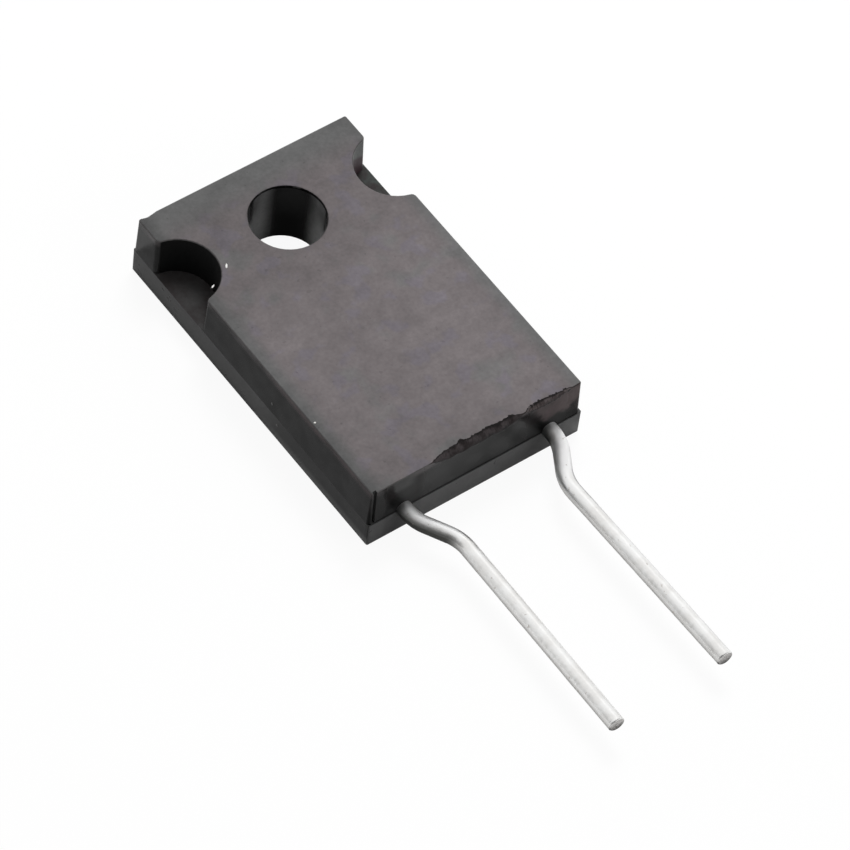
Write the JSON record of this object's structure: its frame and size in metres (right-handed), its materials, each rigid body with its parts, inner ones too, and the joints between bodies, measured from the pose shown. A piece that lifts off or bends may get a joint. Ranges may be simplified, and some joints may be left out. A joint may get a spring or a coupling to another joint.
{
  "type": "power resistor",
  "caption": "Flat moulded power resistor with a screw hole through its tab, half-moon side notches, an exposed ceramic mounting face and round wire leads bent in to the board pitch.",
  "frame": {"origin": "axis of the mounting hole, on the mounting face", "axes": "+Z out of the mounting face through the case's thickness, +Y toward the tab edge, the leads point to -Y"},
  "size_m": [0.0104, 0.0288, 0.0032],
  "materials": {
    "case_moulding": "satin, fine moulded texture",
    "alumina": "matte fired ceramic",
    "conductor_film": "matte",
    "resistor_film": "matte",
    "overglaze": "gloss",
    "solder": "satin",
    "tinned_wire": "bright tin plate"
  },
  "bodies": {
    "root": {"moulded_case": "case_moulding", "ceramic_substrate": "alumina", "left_pad": "conductor_film", "right_pad": "conductor_film", "resistor_film": "resistor_film", "overglaze": "overglaze", "left_solder": "solder", "right_solder": "solder", "left_lead": "tinned_wire", "right_lead": "tinned_wire"}
  },
  "joints": []
}
